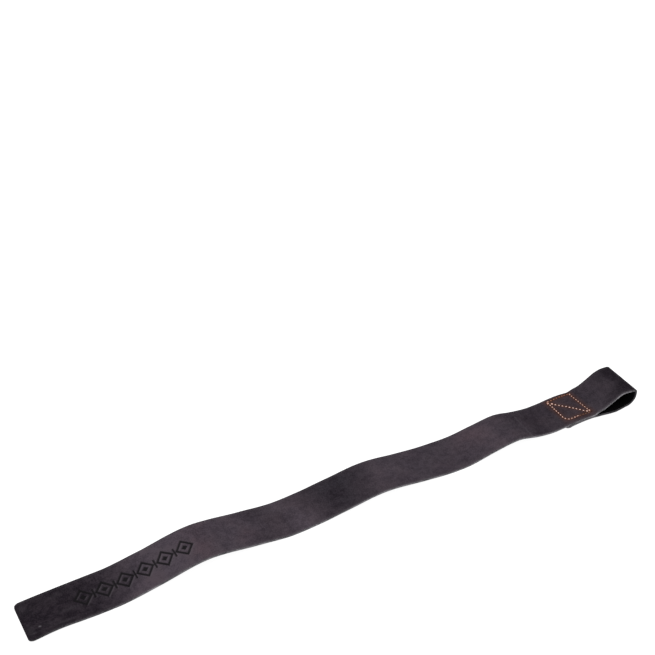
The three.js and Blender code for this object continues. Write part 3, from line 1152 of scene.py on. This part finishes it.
def cut_edge():
    """Fibres end on, thin through the leather and longer along it, under wax where it isn't bare."""
    f = Finish("cut edge", IOR=1.40, Specular_IOR_Level=0.2)
    fibres = f.noise(f.map(FIBRE_SCALE), scale=1, detail=4, rough=0.7)
    blotches = f.noise(f.map(BLOTCH_SCALE), scale=1, detail=3)
    fresh = f.ramp(0.65 * fibres + 0.35 * blotches, low=0.38, high=0.62)
    colour = f.mix(f.attribute("bare"), CUT_WAXED, f.mix(fresh, CUT_DARK, CUT_PALE))
    rough_cut = f.bump(fibres, distance=FIBRE_HEIGHT, strength=0.9)
    return f.out(Base_Color=colour, Roughness=0.85, Normal=rough_cut)


# %% [markdown]
# ### The thread
#
# The thread is orange, with a painted highlight along each yarn. The runs that lie deep in the
# leather have painted shade. On the others a painted highlight makes the crests almost white, and
# every stitch has painted shade where it dives into its holes. These three come from the mesh: how
# far round its yarn a point is, how buried it is, and how pale its run.

# %% The thread's finish
# Painted shade at the holes and on dim runs, painted highlights along the yarns and on the crests; the
# body is the thread's own orange.
THREAD_HOLE_SHADE = (0.060, 0.014, 0.004, 1)
THREAD_SHADED = (0.150, 0.056, 0.028, 1)
THREAD_BODY = (0.27, 0.075, 0.024, 1)
THREAD_YARN_HIGHLIGHT = (0.36, 0.125, 0.055, 1)
THREAD_HIGHLIGHT = (0.72, 0.52, 0.47, 1)
SIDES_HIGHLIGHT = 0.1  # how much painted highlight the sides of a stitch take, where its crest takes 1


def thread_finish():
    """Painted highlights yarn by yarn, painted shade on dim runs and highlights on pale ones, and painted
    shade at its holes.
    """
    f = Finish("orange thread", IOR=1.5, Sheen_Weight=0.2, Sheen_Roughness=0.4)
    buried, pale = f.attribute("buried"), f.attribute("pale")
    colour = f.mix(f.ramp(f.attribute("yarn"), low=-0.6, high=0.9), THREAD_BODY, THREAD_YARN_HIGHLIGHT)
    colour = f.mix(f.ramp(pale, low=0.0, high=0.6), THREAD_SHADED, colour)
    # Painted highlight on the crests, strongest on pale runs.
    crest = f.ramp(1.0 - buried, low=0.78, high=0.98)
    paling = f.ramp(pale, low=0.3, high=1.1) * (SIDES_HIGHLIGHT + (1 - SIDES_HIGHLIGHT) * crest)
    colour = f.mix(paling, colour, THREAD_HIGHLIGHT)
    colour = f.mix(f.ramp(buried, low=0.1, high=0.6), colour, THREAD_HOLE_SHADE)
    return f.out(Base_Color=colour, Roughness=0.48 + 0.2 * buried)


# %% [markdown]
# ### Put the finishes on
#
# Each column of the strip's grid is on one of its eight sides, so its number says which finish its
# faces take. Between two sides a face takes the later finish of the two, so that the skin stops at
# the edge and the cut begins there. Both caps are cut leather.

# %% Put the finishes on
SMOOTH, SUEDE_SIDE, CUT = 0, 1, 2
FINISH_OF_SIDE = np.array([SMOOTH, SMOOTH, CUT, CUT, SUEDE_SIDE, CUT, CUT, SMOOTH])
for finish in (smooth_side(), suede_side(), cut_edge()):
    strap.data.materials.append(finish)
column_finish = FINISH_OF_SIDE[side]
face_finish = np.tile(np.maximum(column_finish, np.roll(column_finish, -1)), len(rows) - 1)
face_finish = np.concatenate([face_finish, [CUT, CUT]]).astype(np.int32)
strap.data.polygons.foreach_set("material_index", face_finish)
thread.data.materials.append(thread_finish())
print("faces of each finish:", np.bincount(face_finish).tolist())

# %% [markdown]
# ## The studio
#
# The strap lies on a light table: a plain white sheet that glows a little by itself, under one
# wide soft light. A glowing sheet is how a studio takes the shadow from under a small dark thing,
# because light that comes up from the table can't be shaded by what lies on it. An ordinary white
# floor would do with more light, but then the rim of the strap would be washed out against it.

# %% Table and lights
TABLE_SIDE = 12.0
TABLE_SHADE = 0.16
TABLE_GLOW = 0.97
TABLE_DROP = 0.05 * MM
SOFTBOX_SIDE = 3.6
SOFTBOX_WATTS = 80
SOFTBOX_PLACE = (-0.1, 0.35, 1.9)
ROOM_LIGHT = 0.3
WHITE = (1, 1, 1, 1)


def ceiling_softbox():
    """A square light above the strap. An area light shines down when it isn't turned."""
    lamp = bpy.data.lights.new("ceiling softbox", "AREA")
    lamp.size = SOFTBOX_SIDE
    lamp.energy = SOFTBOX_WATTS
    made = bpy.data.objects.new("ceiling softbox", lamp)
    made.location = SOFTBOX_PLACE
    bpy.context.scene.collection.objects.link(made)


def white_table():
    """A plain glowing square, a hair under the strap."""
    half = TABLE_SIDE / 2
    mesh = bpy.data.meshes.new("table")
    corners = [(-half, -half, 0), (half, -half, 0), (half, half, 0), (-half, half, 0)]
    mesh.from_pydata(corners, [], [(0, 1, 2, 3)])
    grey = (TABLE_SHADE, TABLE_SHADE, TABLE_SHADE, 1)
    sheet = Finish("light table", Base_Color=grey, Roughness=0.9)
    mesh.materials.append(sheet.out(Emission_Color=WHITE, Emission_Strength=TABLE_GLOW))
    table = bpy.data.objects.new("table", mesh)
    table.location.z = -TABLE_DROP
    bpy.context.scene.collection.objects.link(table)
    return table


def pale_room():
    """Even white light from all round."""
    world = bpy.data.worlds.new("pale room")
    world.use_nodes = True
    background = world.node_tree.nodes["Background"]
    background.inputs["Color"].default_value = WHITE
    background.inputs["Strength"].default_value = ROOM_LIGHT
    return world


scene = bpy.context.scene
table = white_table()
ceiling_softbox()
scene.world = pale_room()
scene.view_settings.view_transform = "Standard"
print("table side, m:", TABLE_SIDE)

# %% [markdown]
# ## The camera
#
# The view was found by matching the strap's outline: a lens of 58 mm, a little over a metre from
# what it looks at, looking down 33 degrees. The strap runs away from it to the right.

# %% Camera
EYE = Vector((-351.7, -555.2, 578.3)) * MM
LOOKED_AT = Vector((100.3, 231.2, 0.0)) * MM
LENS = 57.8
ROLL = 0.3

camera_data = bpy.data.cameras.new("camera")
camera_data.lens = LENS
camera = bpy.data.objects.new("camera", camera_data)
look = (LOOKED_AT - EYE).to_track_quat("-Z", "Y").to_matrix().to_4x4()
camera.matrix_world = Matrix.Translation(EYE) @ look @ Matrix.Rotation(math.radians(ROLL), 4, "Z")
scene.collection.objects.link(camera)
scene.camera = camera
print("distance of the camera, m:", round((LOOKED_AT - EYE).length, 3))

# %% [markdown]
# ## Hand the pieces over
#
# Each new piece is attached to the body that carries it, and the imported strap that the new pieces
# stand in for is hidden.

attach(strap, "root")
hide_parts("leather_strap")
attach(thread, "root")
